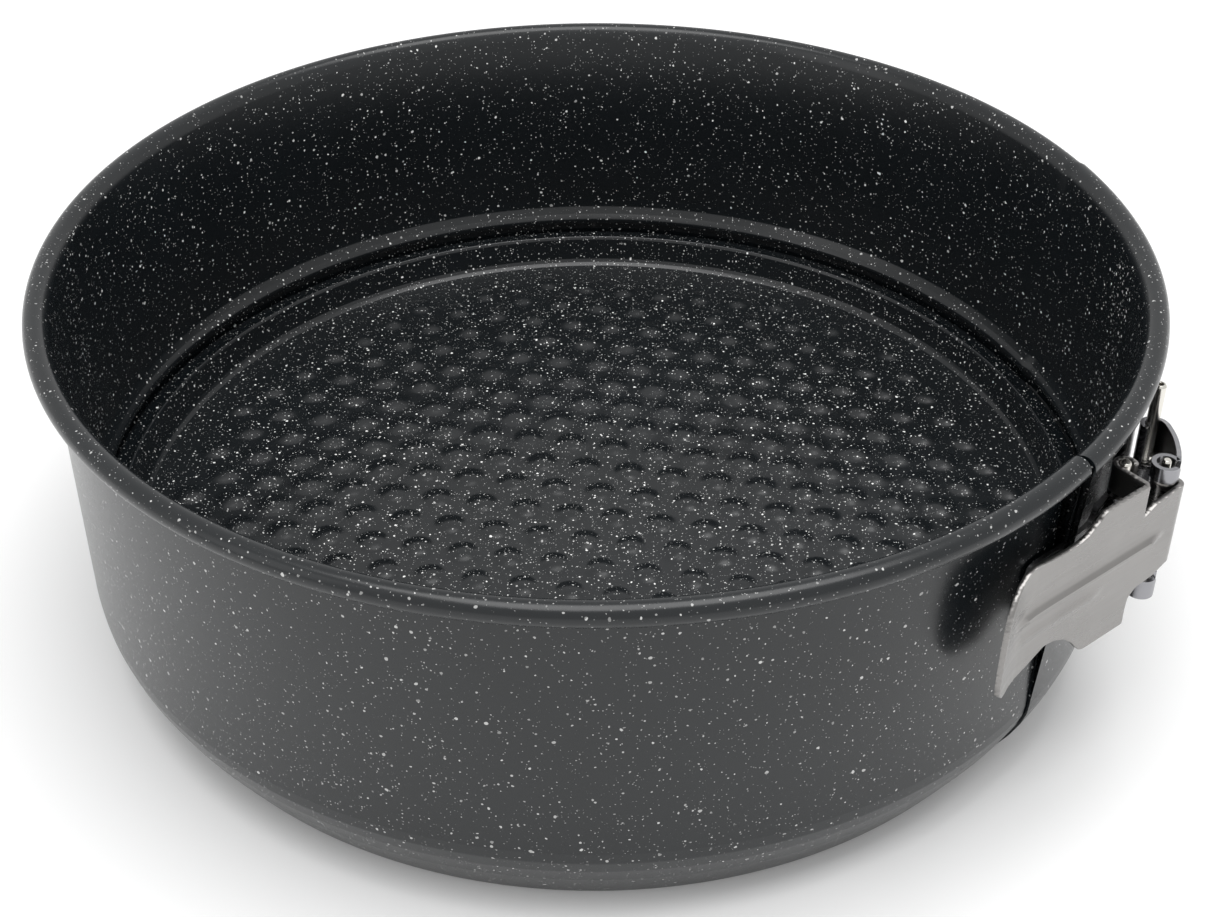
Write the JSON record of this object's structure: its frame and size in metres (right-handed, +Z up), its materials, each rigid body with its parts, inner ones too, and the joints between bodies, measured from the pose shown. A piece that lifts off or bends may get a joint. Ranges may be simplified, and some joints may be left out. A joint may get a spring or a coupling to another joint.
{
  "type": "springform pan",
  "caption": "Round springform baking pan: split ring with rolled rim, loose base plate in a groove, and a lever clasp with a curved link strap.",
  "frame": {"origin": "on the pan axis, in the plane of the ring's lower edge that the pan stands on", "axes": "+Z up along the pan axis; the clasp is on the side between +X and -Y"},
  "size_m": [0.2084, 0.208, 0.0721],
  "materials": {
    "coating": "satin dark grey non-stick coating with fine white specks",
    "satin_steel": "satin stainless steel",
    "dark_steel": "smooth steel sheet, semi-gloss",
    "pin_steel": "bright drawn steel wire"
  },
  "bodies": {
    "rear_band": {"band_rear": "coating", "rear_bracket": "dark_steel", "link_band_pin": "pin_steel"},
    "front_band": {"band_front": "coating", "front_bracket": "dark_steel", "lever_pin": "pin_steel"},
    "base": {"base_plate": "coating"},
    "lever": {"lever": "satin_steel", "link_lever_pin": "pin_steel"},
    "link": {"link": "dark_steel"}
  },
  "joints": [
    {"name": "strip_spread", "type": "hinge", "parent": "rear_band", "child": "front_band", "pos_m": [-0.07547, 0.06561, 0.036], "axis": [0, 0, -1], "range_deg": [0, 1.25]},
    {"name": "base_float", "type": "hinge", "parent": "rear_band", "child": "base", "pos_m": [-0.07547, 0.06561, 0.0196], "axis": [0, 0, -1], "range_deg": [0, 0.63]},
    {"name": "lever_swing", "type": "hinge", "parent": "front_band", "child": "lever", "pos_m": [0.08766, -0.05639, 0.048], "axis": [0, 0, 1], "range_deg": [0, 50]},
    {"name": "link_swing", "type": "hinge", "parent": "rear_band", "child": "link", "pos_m": [0.09747, -0.03741, 0.048], "axis": [0, 0, 1], "range_deg": [-21.1, 0]}
  ],
  "couplings": [
    {"joint": "strip_spread", "follows": "lever_swing", "ratio": 0.0249},
    {"joint": "base_float", "follows": "lever_swing", "ratio": 0.01245},
    {"joint": "link_swing", "follows": "lever_swing", "ratio": -0.4217}
  ]
}
